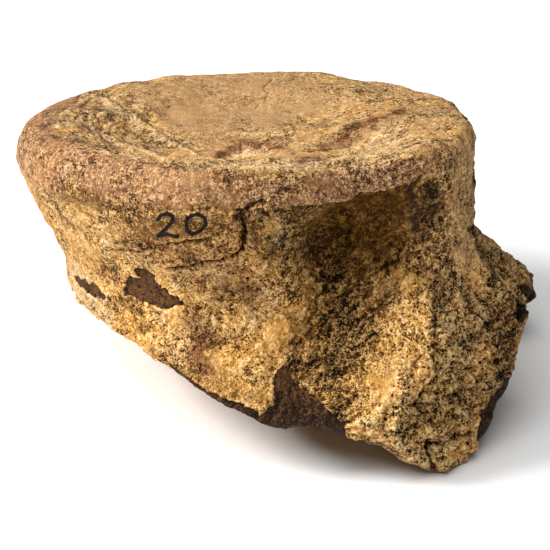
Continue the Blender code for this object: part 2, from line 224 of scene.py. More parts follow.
class Neighbours:
    """Means over each vertex's neighbours."""

    def __init__(self, mesh):
        ends = np.empty(len(mesh.edges) * 2, np.int32)
        mesh.edges.foreach_get("vertices", ends)
        self.ends = ends.reshape(-1, 2)
        self.size = len(mesh.vertices)
        self.count = np.bincount(self.ends.ravel(), minlength=self.size).astype(np.float64)

    def mean(self, values):
        one_way = np.bincount(self.ends[:, 0], weights=values[self.ends[:, 1]], minlength=self.size)
        other_way = np.bincount(self.ends[:, 1], weights=values[self.ends[:, 0]], minlength=self.size)
        return (one_way + other_way) / self.count

    def blurred(self, values, rounds):
        for _ in range(rounds):
            values = 0.5 * values + 0.5 * self.mean(values)
        return values


def applied(obj, kind, **settings):
    """Adds a modifier, replaces the mesh by its result and drops the modifier."""
    modifier = obj.modifiers.new("shape", kind)
    for name, value in settings.items():
        setattr(modifier, name, value)
    evaluated = obj.evaluated_get(bpy.context.evaluated_depsgraph_get())
    mesh = bpy.data.meshes.new_from_object(evaluated)
    obj.modifiers.clear()
    obj.data = mesh


def joined_solids():
    """The solids in one object, each grown a little so that the thin cuts between them close."""
    bm = bmesh.new()
    for node in frame["nodes"].values():
        bm.from_mesh(node.data)
    bmesh.ops.remove_doubles(bm, verts=bm.verts, dist=WELD)
    bmesh.ops.recalc_face_normals(bm, faces=bm.faces)
    bm.normal_update()
    for vert in bm.verts:
        vert.co += vert.normal * OVERLAP
    return object_of("fossil_bone", bm)


def relax(mesh, rounds):
    """Smooths out facets without shrinking the shape."""
    points = read_vectors(mesh.vertices, "co")
    neighbours = Neighbours(mesh)
    for _ in range(rounds):
        for pull in (SHRINK, REGROW):
            mean = np.stack([neighbours.mean(points[:, k]) for k in range(3)], axis=1)
            points += pull * (mean - points)
    mesh.vertices.foreach_set("co", points.astype(np.float32).ravel())
    mesh.update()


def unwrap(obj):
    """Lays out the map named OFBake, on the smooth shape, for the finished colours."""
    obj.data.uv_layers.new(name="OFBake")
    bpy.context.view_layer.objects.active = obj
    obj.select_set(True)
    bpy.ops.object.mode_set(mode="EDIT")
    bpy.ops.mesh.select_all(action="SELECT")
    bpy.ops.uv.smart_project(angle_limit=radians(70), island_margin=0.004, scale_to_bounds=True)
    bpy.ops.object.mode_set(mode="OBJECT")
    obj.select_set(False)


def smooth_skin():
    obj = joined_solids()
    applied(obj, "REMESH", mode="VOXEL", voxel_size=VOXEL, adaptivity=0.0)
    relax(obj.data, SMOOTHING_ROUNDS)
    unwrap(obj)
    applied(obj, "SUBSURF", levels=SUBDIVISIONS, render_levels=SUBDIVISIONS)
    return obj


# ---------------- where the skin is

def bone_axes():
    """Columns: the bone's dorsal, left and tailward directions in the frame."""
    lean = Matrix.Rotation(-LEAN_BACK, 3, "X") @ Matrix.Rotation(-LEAN_VENTRAL, 3, "Y")
    return np.array(lean)


def camera_axes():
    """Rows: the camera's right, up and forward directions."""
    forward = np.array((0.0, cos(CAMERA_ELEVATION), -sin(CAMERA_ELEVATION)))
    right = np.array((1.0, 0.0, 0.0))
    return np.array((right, np.cross(right, forward), forward))


CAMERA_PLACE = LOOK_AT - camera_axes()[2] * CAMERA_DISTANCE
FOCAL = CAMERA_DISTANCE / PIXEL


def outline_radius(angle):
    """Radius of the upper face's outline at an angle from dorsal."""
    squarer = SQUARENESS_DORSAL * smooth(np.cos(angle), -0.2, 0.9)
    power = SQUARENESS + squarer * (1.0 - 0.8 * smooth(np.sin(angle), 0.0, 0.6))
    height = np.where(np.cos(angle) > 0.0, FACE_DORSAL, FACE_VENTRAL)
    across = np.abs(np.cos(angle) / height) ** power
    along = np.abs(np.sin(angle) / FACE_HALF_WIDTH) ** power
    return (across + along) ** (-1.0 / power)


class Skin:
    """Arrays over the skin's vertices: places, directions and coordinates."""

    def __init__(self, mesh):
        self.points = read_vectors(mesh.vertices, "co")
        self.normals = read_vectors(mesh.vertex_normals, "vector")
        self.neighbours = Neighbours(mesh)
        axes = bone_axes()
        self.local = (self.points - CREST_CENTRE) @ axes
        self.x, self.y, self.depth = self.local[:, 0], self.local[:, 1], -self.local[:, 2]
        self.angle = np.arctan2(self.y, self.x)
        self.from_dorsal = np.abs(self.angle)
        self.dorsal = np.cos(self.angle)
        self.facing = self.normals @ axes
        self.tailward = self.facing[:, 2]
        self.radius = np.hypot(self.x, self.y)
        self.share = self.radius / outline_radius(self.angle)
        self.locate_in_photo()
        self.wobble = (cloud(self.local, 0.0045, 11), cloud(self.local, 0.0045, 12))
        self.jag = cloud(self.local, 0.0090, 13)
        self.shred = (cloud(self.local, 0.0024, 14, 2, 0.7), cloud(self.local, 0.0024, 15, 2, 0.7))

    def beyond(self, limits, ragged=0.0):
        """0 up to the first angle from dorsal, 1 past the second, the edge wandering by ragged radians."""
        return smooth(self.from_dorsal + ragged * self.jag, *limits)

    def locate_in_photo(self):
        """Pixel column and row of each vertex, and how the camera sees it.

        seen is 1 on the visible skin and 0 elsewhere, and wrapped also goes on round the bone's edges.
        steady is 1 where the skin faces the camera and lower edge-on, where marks would be smeared.
        """
        offset = self.points - CAMERA_PLACE
        right, up, forward = camera_axes()
        away = offset @ forward
        self.column = 0.5 * PHOTO_SIDE + FOCAL * (offset @ right) / away
        self.row = 0.5 * PHOTO_SIDE - FOCAL * (offset @ up) / away
        turned = -np.einsum("ij,ij->i", self.normals, offset) / np.linalg.norm(offset, axis=1)
        side = PHOTO_SIDE // DEPTH_CELL
        i = np.clip((self.row / DEPTH_CELL).astype(int), 0, side - 1)
        j = np.clip((self.column / DEPTH_CELL).astype(int), 0, side - 1)
        nearest = np.full((side + 2, side + 2), np.inf)
        np.minimum.at(nearest, (i + 1, j + 1), away)
        around = [nearest[i + a, j + b] for a in range(3) for b in range(3)]
        front = np.minimum.reduce(around)
        behind = away - front - FLAT_ALLOWANCE / np.maximum(np.abs(turned), 0.05)
        self.seen = smooth(turned, 0.005, 0.06) * (1.0 - smooth(behind, *SEEN_FADE))
        self.steady = blend(0.25, 1.0, smooth(np.abs(turned), 0.10, 0.50))
        self.wrapped = smooth(turned, -0.80, -0.60) * (1.0 - smooth(behind, *WRAPPED_FADE))


# ---------------- marks placed in the photograph

OUTLINE_FRAY = 0.7              # share of fine teeth in a wandering edge
LINE_FRAY = 0.5


def line_distance(column, row, points):
    """Pixels from each place to a line through the points."""
    best = np.full(len(column), np.inf)
    for (x0, y0), (x1, y1) in zip(points, points[1:]):
        dx, dy = x1 - x0, y1 - y0
        t = np.clip(((column - x0) * dx + (row - y0) * dy) / (dx * dx + dy * dy), 0.0, 1.0)
        best = np.minimum(best, np.hypot(column - x0 - t * dx, row - y0 - t * dy))
    return best


def within(column, row, corners):
    """True inside a closed outline."""
    inside = np.zeros(len(column), bool)
    for (x0, y0), (x1, y1) in zip(corners, corners[1:] + corners[:1]):
        if y0 == y1:
            continue
        crosses = (y0 > row) != (y1 > row)
        inside ^= crosses & (column < x0 + (row - y0) * (x1 - x0) / (y1 - y0))
    return inside


def pushed_about(skin, rough, fray):
    """Columns and rows moved by about rough pixels, so that a mark's edge wanders; fray adds fine teeth."""
    rough = rough * skin.steady
    column = skin.column + rough * (skin.wobble[0] + fray * skin.shred[0])
    row = skin.row + rough * (skin.wobble[1] + fray * skin.shred[1])
    return column, row


def depth_inside(skin, corners, rough):
    """Pixels inside an outline, negative outside it, the outline wandering by about rough."""
    column, row = pushed_about(skin, rough, OUTLINE_FRAY)
    away = line_distance(column, row, corners + corners[:1])
    return np.where(within(column, row, corners), away, -away)


def patch(skin, corners, edge, rough):
    """1 inside an outline in the photo and 0 outside, over an edge that wanders a few pixels."""
    return smooth(depth_inside(skin, corners, rough), -edge, edge) * skin.seen


def stroke(skin, points, width, rough=1.5):
    """1 on a line in the photo, falling to 0 at about width pixels to its sides."""
    column, row = pushed_about(skin, rough, LINE_FRAY)
    return np.exp(-(line_distance(column, row, points) / width) ** 2) * skin.seen


# Chips where the crust is lost and the smooth dark bone shows, as outlines in the photo's pixels
CHIPS = (
    [(123, 295), (124, 286), (128, 278), (140, 280), (154, 279), (161, 290), (172, 296), (184, 304),
     (176, 308), (162, 311), (152, 306), (141, 302), (131, 298)],
    [(135, 270), (142, 271), (149, 274), (156, 280), (150, 283), (143, 282), (137, 277)],
    [(71, 277), (84, 280), (96, 287), (106, 298), (101, 303), (92, 297), (82, 291), (74, 285)],
    [(277, 371), (285, 367), (292, 371), (296, 382), (306, 391), (318, 402), (330, 414), (342, 440),
     (300, 446), (262, 434), (248, 424), (266, 412), (276, 401), (274, 386)],
    [(166, 361), (190, 378), (205, 386), (224, 396), (246, 406), (258, 412), (264, 440), (228, 430),
     (190, 404)],
    [(250, 424), (262, 418), (300, 436), (342, 430), (350, 462), (300, 462), (250, 445)],
    [(497, 382), (512, 378), (505, 404), (495, 430), (480, 456), (474, 440), (476, 424), (487, 405)],
)
CHIP_ROUGHNESS = 1.5            # pixels by which their outlines wander
# Stains and painted shade, rust, and the dish's ring grooves and ridges: line, width in pixels and strength
STAINS_AND_PAINTED_SHADE = (
    ([(64, 192), (95, 205), (130, 216), (170, 222), (235, 226)], 13.0, 0.8),
    ([(150, 350), (180, 372), (203, 384), (232, 402)], 7.0, 0.8),
    ([(241, 218), (243, 236), (240, 256)], 7.0, 1.0),
    ([(250, 222), (262, 240), (268, 262)], 9.0, 0.6),
    ([(182, 278), (198, 330), (206, 350)], 8.0, 0.35),
    ([(262, 212), (300, 214), (316, 214)], 9.0, 0.75),
    ([(306, 214), (312, 240), (322, 266)], 12.0, 0.7),
    ([(314, 256), (330, 275), (352, 290)], 14.0, 0.72),
    ([(392, 300), (352, 326), (336, 350), (328, 380)], 11.0, 0.75),
    ([(421, 190), (424, 230), (404, 262)], 8.0, 0.55),
    ([(440, 282), (462, 300), (470, 330)], 10.0, 0.35),
    ([(150, 240), (200, 234), (246, 238)], 15.0, 0.45),
    ([(222, 172), (262, 178), (300, 176)], 10.0, 0.42),
    ([(372, 322), (366, 356), (352, 402)], 11.0, 0.7),
    ([(514, 318), (514, 345), (506, 372), (494, 395)], 9.0, 0.85),
    ([(422, 408), (419, 438)], 3.0, 0.8),
    ([(424, 420), (436, 430), (452, 432)], 10.0, 0.7),
    ([(506, 305), (509, 332), (506, 356)], 9.0, 0.5),
    ([(388, 352), (376, 402)], 17.0, 0.3),
    ([(212, 373), (236, 387), (262, 398)], 10.0, 0.5),
    ([(433, 446), (433, 470)], 3.0, 0.8),
    ([(130, 212), (180, 214), (230, 212), (252, 214)], 7.0, 0.5),
    ([(232, 402), (262, 418), (284, 404)], 6.0, 0.7),
    ([(318, 300), (330, 322), (324, 350)], 8.0, 0.3),
    ([(262, 208), (286, 208), (306, 214)], 5.0, 0.8),
    ([(296, 222), (300, 250)], 12.0, 0.5),
    ([(262, 236), (290, 240)], 12.0, 0.2),
)
RUSTS = (
    ([(226, 284), (240, 290), (250, 296)], 14.9, 0.9),
    ([(196, 326), (203, 332), (196, 352), (204, 366)], 10.8, 0.96),
    ([(214, 158), (224, 149), (243, 141), (265, 143), (285, 149), (297, 156)], 3.5, 1.0),
    ([(302, 157), (318, 151), (333, 144), (350, 135), (358, 129), (378, 122), (402, 113)], 5.9, 1.0),
    ([(436, 280), (440, 300)], 10.8, 0.6),
    ([(470, 300), (500, 320)], 12.2, 0.42),
)
GROOVES = (
    ([(48, 110), (66, 106), (90, 105), (112, 109), (128, 119)], 4.0, 0.85),
    ([(45, 121), (66, 117), (92, 124), (112, 132)], 3.5, 0.80),
    ([(56, 134), (76, 137), (98, 143), (120, 148), (140, 158), (160, 164), (180, 166), (205, 167)],
     3.2, 1.0),
    ([(148, 143), (160, 150), (168, 152)], 3.5, 0.8),
)
RIDGES = (
    ([(104, 100), (122, 112), (140, 122), (160, 134), (180, 143), (196, 156)], 2.6, 1.0),
    ([(108, 133), (132, 145), (152, 153), (170, 161)], 2.4, 0.9),
    ([(84, 96), (104, 99), (120, 108)], 2.4, 0.7),
)
# Cracks and steps: line, width in pixels and depth in metres
CRACKS = (
    ([(104, 252), (136, 253), (157, 249), (179, 244), (211, 242)], 1.8, 0.0022),
    ([(168, 271), (186, 269), (208, 264), (236, 258)], 2.2, 0.0026),
    ([(242, 219), (244, 232), (243, 246), (238, 257)], 3.2, 0.0030),
    ([(250, 210), (254, 206), (262, 203)], 3.0, 0.0020),
    ([(234, 218), (246, 212), (250, 207)], 3.0, 0.0018),
    ([(443, 372), (438, 379), (432, 384), (427, 388), (429, 395), (424, 400), (420, 409)], 2.4, 0.0026),
    ([(425, 409), (422, 421), (419, 435)], 5.0, 0.0042),
    ([(431, 445), (433, 458), (433, 470)], 4.0, 0.0050),
    ([(272, 80), (264, 88), (267, 95), (263, 102), (254, 108)], 1.2, 0.0009),
    ([(436, 300), (437, 330), (440, 350), (436, 372)], 2.4, 0.0018),
    ([(436, 448), (452, 440), (470, 436)], 1.8, 0.0018),
    ([(494, 274), (506, 282), (515, 291), (521, 303), (524, 316), (526, 328)], 3.4, 0.0038),
    ([(461, 150), (463, 186), (461, 222), (466, 250)], 1.3, 0.0010),
    ([(468, 172), (468, 205), (466, 232)], 1.2, 0.0008),
    ([(469, 230), (475, 244), (483, 262)], 1.8, 0.0016),
    ([(450, 196), (450, 224), (449, 240), (454, 262)], 1.5, 0.0012),
    ([(468, 300), (476, 318), (482, 345)], 1.6, 0.0012),
    ([(372, 268), (390, 262), (404, 250)], 2.0, 0.0014),
)
# Furrows between the hollow and the right stub: line, width in pixels and depth in metres
VALLEYS = (
    ([(412, 262), (392, 285), (372, 312), (356, 345), (343, 372)], 8.0, 0.0022),
    ([(396, 255), (365, 280), (346, 305), (336, 335), (328, 372), (320, 392)], 10.0, 0.0024),
)
# Single places, each a line or an outline in the photo's pixels
COLUMN_RIDGE = [(447, 172), (450, 200), (462, 235), (477, 262), (488, 271), (500, 290), (522, 327)]
CANAL_STRIP = [(452, 120), (473, 130), (474, 160), (473, 190), (468, 227), (473, 250), (480, 264),
               (490, 275), (478, 280), (462, 274), (452, 260), (448, 237), (450, 200), (455, 180),
               (451, 150)]
# Side of the far stub, turned from the light, and the cleft beside it: outlines of painted shade and
# painted shadow
FAR_SIDE = [(468, 228), (478, 238), (488, 258), (502, 271), (516, 282), (536, 291), (535, 308), (523, 330),
            (518, 308), (510, 291), (492, 278), (480, 265), (472, 250)]
FAR_GAP_SHADOW = [(490, 268), (507, 279), (527, 287), (538, 294), (537, 310), (526, 334), (521, 326), (518, 308),
           (511, 292), (493, 280)]
# Painted shade on the near stub's right edge, which turns from the light
NEAR_EDGE = [(508, 300), (521, 318), (524, 345), (517, 368), (505, 385), (496, 380), (505, 350), (507, 325)]
FAR_TOP = [(474, 212), (486, 226), (504, 248), (527, 268), (538, 280), (536, 291), (516, 283), (500, 271),
           (486, 258), (474, 236)]
# Painted shade that the rim's overhang casts into the hollow and round it
HOLLOW_SHADE = [(282, 212), (300, 204), (316, 212), (350, 196), (400, 185), (434, 180), (436, 212),
                (430, 238), (404, 262), (364, 282), (326, 280), (302, 244)]
# Painted shade at the hollow's right end, under the rim's overhang
HOLLOW_END = [(408, 190), (440, 184), (438, 215), (428, 240), (412, 244)]
WAIST_SHADE = [(232, 206), (300, 200), (330, 260), (320, 300), (290, 285), (262, 262), (240, 240)]
STUB_FLANK = [(400, 276), (386, 307), (375, 331), (367, 353), (362, 378), (352, 410), (385, 438),
              (420, 450), (418, 405), (438, 372), (438, 300), (420, 280)]
# Near stub's top, the foot of its flank and its tip, painted lighter: painted light
STUB_TOP = [(436, 278), (478, 262), (498, 298), (482, 318), (478, 345), (470, 374), (446, 370), (434, 320)]
FLANK_FOOT = [(344, 430), (372, 418), (392, 372), (416, 376), (418, 440), (430, 462), (395, 454),
              (350, 444)]
STUB_TIP = [(425, 432), (480, 428), (478, 452), (450, 474), (420, 472), (400, 455)]
PLATE = [(92, 216), (150, 214), (200, 212), (243, 214), (244, 236), (240, 257), (211, 243), (180, 246),
         (157, 250), (136, 253), (104, 253)]
PLATE_SHADE = [(118, 228), (180, 218), (262, 214), (266, 250), (242, 264), (180, 270), (120, 256)]
LOWER_PLATE = [(150, 250), (180, 245), (211, 242), (240, 240), (238, 257), (208, 263), (186, 268),
               (166, 271)]
TERRACE = [(202, 166), (213, 160), (222, 152), (232, 146), (243, 143), (262, 146), (285, 152), (297, 158),
           (322, 152), (345, 142), (359, 134), (380, 127), (399, 121), (420, 116),
           (425, 150), (370, 167), (300, 169), (230, 168)]
SMOOTH_PATCH = [(128, 84), (175, 80), (240, 73), (290, 74), (322, 92), (328, 108), (290, 124), (240, 138),
                (200, 141), (170, 126), (148, 108)]
CRUST = [(60, 262), (78, 262), (96, 282), (112, 306), (116, 336), (60, 300)]
# Columns between which the terrace runs out, and between which its colour turns less pale
TERRACE_END = (385.0, 420.0)
TERRACE_PALE_END = (310.0, 350.0)


def chip_depth(skin):
    """Pixels inside the chips' outlines, negative outside them all."""
    return np.maximum.reduce([depth_inside(skin, corners, CHIP_ROUGHNESS) for corners in CHIPS])


# ---------------- relief

# Small corrections to the outline: angle and its spread in degrees, depth, its spread and height in metres
TRIMS = (
    (-165, 36, 0.026, 0.015, -0.0036),
    (-165, 36, 0.005, 0.010, -0.0012),
    (-14, 22, 0.012, 0.018, 0.0014),
    (-12, 18, 0.044, 0.014, 0.0014),
    (50, 18, 0.000, 0.007, 0.0024),
)
# The same across the line of sight: column and row in the photo, radius in pixels, and metres to the
# right and up
NUDGES = (
    (532, 331, 18, -0.0034, 0.0),
    (502, 388, 18, 0.0034, 0.0),
    (486, 430, 20, 0.0034, 0.0),
    (362, 452, 26, 0.0, 0.0030),
    (326, 440, 34, 0.0, 0.0030),
    (205, 400, 40, 0.0, -0.0022),
)
# Where each kind of surface starts or stops round the side, as two angles from dorsal
RIM_START = (radians(32), radians(48))
OVERHANG_START = (radians(34), radians(48))
COLUMN_STOP = (radians(36), radians(44))
HOLLOW_START = (radians(38), radians(45))
HOLLOW_STOP = (radians(56), radians(68))
ARCH_SIDE_STOP = (radians(74), radians(94))
THICK_RIM_START = (radians(125), radians(155))
# Middle of the valley beside the right stub, above and below, and how far it spreads
VALLEY_ANGLES = (radians(52), radians(68))
VALLEY_SPREAD = radians(13)
# The rim's lower edge, in metres: its depth, how far it swells out, and how far it is cut under
RIM_DEPTH = 0.0185
RIM_DEPTH_DORSAL = 0.0120
OVERHANG_SWELL = 0.0004
OVERHANG_CUT = 0.0026
# Heights and depths of the broad relief, in metres
HOLLOW_DEPTH = 0.0016
RING_HEIGHT = 0.0006
FURROW_HEIGHT = 0.0009
TERRACE_DEPTH = 0.0023
PLATE_HEIGHT = 0.0012
LOWER_PLATE_HEIGHT = 0.0008
RIDGE_HEIGHT = 0.0011
GROOVE_DEPTH = 0.0010
COLUMN_RIDGE_HEIGHT = 0.0014
CHIP_DEPTH = 0.0009
FIBRE_HEIGHT = 0.00026
SWELL_HEIGHT = 0.0008
HARSH_HEIGHT = 0.0004
RUGGED_HEIGHT = 0.0013
RUGGED_LOSS = 0.0004
TERRACE_BLUR = 10               # rounds
# Heights of the grains and depths of the holes, in metres
SIDE_GRAIN = 0.00031
RIM_GRAIN = 0.00020
DISH_GRAIN = 0.00026
PIT_DEPTH = 0.00045
HOLE_DEPTH = 0.0014
WORN_TOP = 0.4                  # highest the grains stand, as a share of their size: the rest is worn off
# Directions in which the relief is drawn out: two in the bone's own coordinates, one in the frame
AXIAL = (0.0, 0.0, 1.0)
CHIP_FIBRES = (0.15, 0.0, 1.0)
FURROW_DIRECTION = (0.62, -0.10, 0.78)


def nudged(skin):
    """Shifts to the right and up, in metres."""
    across, up = np.zeros(len(skin.depth)), np.zeros(len(skin.depth))
    for column, row, radius, right, high in NUDGES:
        near = np.exp(-((skin.column - column) ** 2 + (skin.row - row) ** 2) / radius ** 2)
        across += right * near
        up += high * near
    return across, up


def trimmed(skin):
    total = np.zeros(len(skin.depth))
    for angle, spread, depth, reach, height in TRIMS:
        turn = np.mod(np.degrees(skin.angle) - angle + 180.0, 360.0) - 180.0
        total += height * bump(turn, 0.0, spread) * bump(skin.depth, depth, reach)
    return total


def crest_share(skin):
    """Place of the crest, where the face turns down into the rim: well in on the ventral side."""
    return 0.975 - 0.21 * smooth(-skin.dorsal, -0.7, 1.25) ** 2


def rim_edge(skin):
    """Depth of the rim's ragged lower edge."""
    depth = blend(RIM_DEPTH, RIM_DEPTH_DORSAL, smooth(skin.dorsal, 0.45, 0.78))
    return depth + 0.0016 * skin.jag + 0.0007 * skin.wobble[1] + 0.0005 * skin.shred[0]


def overhang(skin, rim):
    """Rim's lower edge: the rim swells down to it, and below it the side is cut under."""
    below = skin.depth - rim_edge(skin)
    thick = skin.beyond(THICK_RIM_START)
    arch_side = 1.0 - skin.beyond(ARCH_SIDE_STOP)
    crisp = skin.beyond(OVERHANG_START) * (1.0 - 0.7 * thick) * (0.12 + 0.88 * arch_side)
    fall = smooth(below, -0.0010, 0.0026)
    swell = OVERHANG_SWELL * np.exp(np.minimum(below, 0.0) / 0.006)
    cut = OVERHANG_CUT * np.exp(-np.maximum(below, 0.0) / 0.020)
    return crisp * (swell * (1.0 - fall) * rim - cut * fall)


def stub_ends(skin):
    """1 on the broken ends of the two arch stubs."""
    side = np.where(skin.y < 0.0, -1.0, 1.0)
    reach = np.where(skin.y < 0.0, STUB_REACH_RIGHT, STUB_REACH_LEFT)
    outward = skin.x * cos(STUB_ANGLE) + side * skin.y * sin(STUB_ANGLE)
    turned = skin.facing[:, 0] * cos(STUB_ANGLE) + side * skin.facing[:, 1] * sin(STUB_ANGLE)
    near = smooth(outward + 0.0012 * skin.jag, reach - 0.016, reach - 0.008)
    return near * smooth(turned, 0.62, 0.80) * smooth(skin.depth, 0.055, 0.075)


def masks(skin):
    """Shares from 0 to 1 of each kind of surface."""
    m = {}
    depth = skin.depth
    face = smooth(skin.tailward, 0.25, 0.55) * (depth < 0.045)
    inner = 1.0 - smooth(skin.share - crest_share(skin) + 0.006 * skin.jag, -0.012, 0.012)
    m["dish"] = face * inner
    soft = blend(1.2, 3.4, skin.beyond(ARCH_SIDE_STOP))
    below = depth - rim_edge(skin) + 0.0014 * skin.wobble[0]
    m["rim"] = (1.0 - smooth(below / soft, -0.0012, 0.0020)) * (1.0 - m["dish"])
    m["rim"] *= skin.beyond(RIM_START, 0.05)
    m["side"] = (1.0 - m["rim"]) * (1.0 - m["dish"])
    line = BREAK_DEPTH + BREAK_SLOPE_DORSAL * skin.x + BREAK_SLOPE_LEFT * skin.y
    line = line + BREAK_CURL * (skin.x - BREAK_CURL_ZEROS[0]) * (skin.x - BREAK_CURL_ZEROS[1])
    m["under"] = smooth(-skin.tailward, 0.30, 0.60) * smooth(depth, 0.080, 0.095)
    m["broken"] = smooth(depth - line, -0.010, -0.004) * smooth(-skin.tailward, 0.05, 0.35)
    m["ends"] = stub_ends(skin)
    across = skin.beyond(HOLLOW_START, 0.03) * (1.0 - skin.beyond(HOLLOW_STOP))
    down = 1.0 - smooth(depth + 0.002 * skin.jag, 0.048, 0.062)
    m["hollow"] = across * down * m["side"]
    middle = blend(*VALLEY_ANGLES, smooth(depth, 0.050, 0.105))
    m["valley"] = bump(skin.from_dorsal, middle, VALLEY_SPREAD) * smooth(depth, 0.046, 0.062) * m["side"]
    m["valley"] *= 1.0 - 0.75 * patch(skin, STUB_FLANK, 12.0, 6.0)
    ventral = smooth(-skin.dorsal, 0.15, 0.70)
    m["rings"] = m["dish"] * ventral * smooth(skin.share, 0.38, 0.52)
    m["column"] = (1.0 - skin.beyond(COLUMN_STOP)) * m["side"]
    m["crust"] = patch(skin, CRUST, 4.0, 3.0)
    m["smooth"] = patch(skin, SMOOTH_PATCH, 5.0, 4.0) * m["dish"]
    m["rings"] *= 1.0 - m["smooth"]
    before_crest = 1.0 - smooth(skin.share - crest_share(skin), -0.035, 0.030)
    m["terrace"] = patch(skin, TERRACE, 2.0, 0.6) * before_crest * (1.0 - smooth(skin.column, *TERRACE_END))
    m["chip"] = smooth(chip_depth(skin), -0.9, 0.9) * skin.wrapped
    m["waist"] = patch(skin, WAIST_SHADE, 14.0, 8.0)
    m["strip"] = patch(skin, CANAL_STRIP, 3.0, 3.0)
    m["harsh"] = np.clip(m["column"] + m["ends"] + m["valley"] + m["waist"], 0.0, 1.0) * m["side"]
    m["harsh"] *= 1.0 - 0.8 * m["strip"]
    return m


def form(skin, m):
    """Relief broader than about 5 mm, in metres."""
    local = skin.local
    height = SWELL_HEIGHT * cloud(local, 0.028, 1, 2)
    height += SWELL_HEIGHT * cloud(local, 0.0110, 3, 2) * (1.0 - 0.5 * m["dish"] - 0.5 * m["rim"])
    height += trimmed(skin) + overhang(skin, m["rim"])
    height -= HOLLOW_DEPTH * m["hollow"]
    round_axis = np.stack([0.09 * np.cos(skin.angle), 0.09 * np.sin(skin.angle), 3.2 * skin.radius], axis=1)
    skin.rings = cloud(round_axis, 0.016, 33, 3, 0.6)
    height += RING_HEIGHT * skin.rings * np.clip(m["rings"] + m["terrace"], 0.0, 1.0)
    furrows = lumps(stretched(skin.points, FURROW_DIRECTION, 1.8), 0.0090, 31, 3)
    height += FURROW_HEIGHT * furrows * np.clip(m["valley"] + 0.6 * m["hollow"], 0.0, 1.0)
    for points, width, deep in VALLEYS:
        height -= deep * stroke(skin, points, width, 5.0)
    height -= TERRACE_DEPTH * skin.neighbours.blurred(m["terrace"], TERRACE_BLUR)
    plates = PLATE_HEIGHT * patch(skin, PLATE, 1.2, 1.5)
    height += plates + LOWER_PLATE_HEIGHT * patch(skin, LOWER_PLATE, 1.2, 1.5)
    for points, width, strength in RIDGES:
        height += RIDGE_HEIGHT * strength * stroke(skin, points, width, 1.0)
    for points, width, strength in GROOVES:
        height -= GROOVE_DEPTH * strength * stroke(skin, points, width, 1.0)
    rugged = np.clip(0.75 * m["ends"] + 0.45 * m["broken"], 0.0, 1.0)
    height += rugged * (RUGGED_HEIGHT * lumps(local, 0.0120, 41, 3, 0.55) - RUGGED_LOSS)
    height += HARSH_HEIGHT * m["harsh"] * lumps(local, 0.0085, 43, 2)
    height += COLUMN_RIDGE_HEIGHT * stroke(skin, COLUMN_RIDGE, 4.0, 3.0)
    return height


def fine(skin, m):
    """Relief finer than about 5 mm, in metres."""
    axial = stretched(skin.local, AXIAL, 1.25)
    oblique = stretched(skin.points, FURROW_DIRECTION, 3.0)
    turned = np.clip(1.4 * m["hollow"] + 0.8 * m["valley"], 0.0, 1.0)
    rugged = np.clip(m["ends"] + 0.4 * m["broken"], 0.0, 1.0)
    grains = lumps(axial, 0.0038, 51, 2, 0.7)
    grit = cloud(axial, 0.0021, 54, 2, 0.8)
    streaks = cloud(oblique, 0.0030, 57, 2, 0.7)
    texture = (0.6 * grains + 0.6 * grit) * (1.0 - turned) + streaks * turned
    upright = cloud(stretched(skin.local, AXIAL, 7.0), 0.0022, 59, 2, 0.7)
    texture = blend(texture, upright, 0.8 * m["strip"])
    texture = np.where(texture > 0.0, WORN_TOP * np.tanh(texture / WORN_TOP), texture)
    size = SIDE_GRAIN * m["side"] * (1.0 + 0.2 * turned) + RIM_GRAIN * m["rim"] + DISH_GRAIN * m["dish"]
    size *= (1.0 - 0.55 * m["smooth"]) * (0.74 + 0.55 * m["harsh"]) * (1.0 + 0.25 * rugged)
    height = size * texture
    pores = cloud(axial, 0.0034, 61, 2, 0.55)
    patchy = 0.5 + 0.5 * np.clip(cloud(skin.local, 0.022, 63, 2), -1.0, 1.0)
    open_share = m["side"] * (1.0 - 0.5 * turned) + 0.35 * m["rim"] + 0.45 * m["dish"] * (1.0 - m["smooth"])
    pits = smooth(pores, 0.62 - 0.14 * patchy, 1.00 - 0.14 * patchy) * open_share
    height -= PIT_DEPTH * pits
    nearest, number = cells(skin.local + 0.0008 * skin.wobble[0][:, None], 0.0085, 22)
    holes = smooth(0.09 + 0.08 * number - nearest, 0.0, 0.09) * smooth(number, 0.76, 0.82)
    height -= HOLE_DEPTH * holes * m["side"]
    height += rugged * 0.0002 * lumps(skin.local, 0.0056, 65, 2)
    return height


def work_skin(skin):
    """Height to add along the normals, in metres, and the kinds of surface."""
    m = masks(skin)
    rough = form(skin, m) + fine(skin, m)
    fibres = cloud(stretched(skin.local, CHIP_FIBRES, 6.0), 0.0022, 71, 2)
    chipped = -CHIP_DEPTH + FIBRE_HEIGHT * fibres
    height = blend(rough, chipped + 0.5 * skin.neighbours.blurred(rough, 30), m["chip"])
    for points, width, deep in CRACKS:
        height -= deep * stroke(skin, points, width)
    return height, m


# ---------------- colours

def linear(*levels):
    """Linear colour of three 8-bit display levels."""
    share = np.array(levels, float) / 255.0
    return np.where(share <= 0.04045, share / 12.92, ((share + 0.055) / 1.055) ** 2.4)


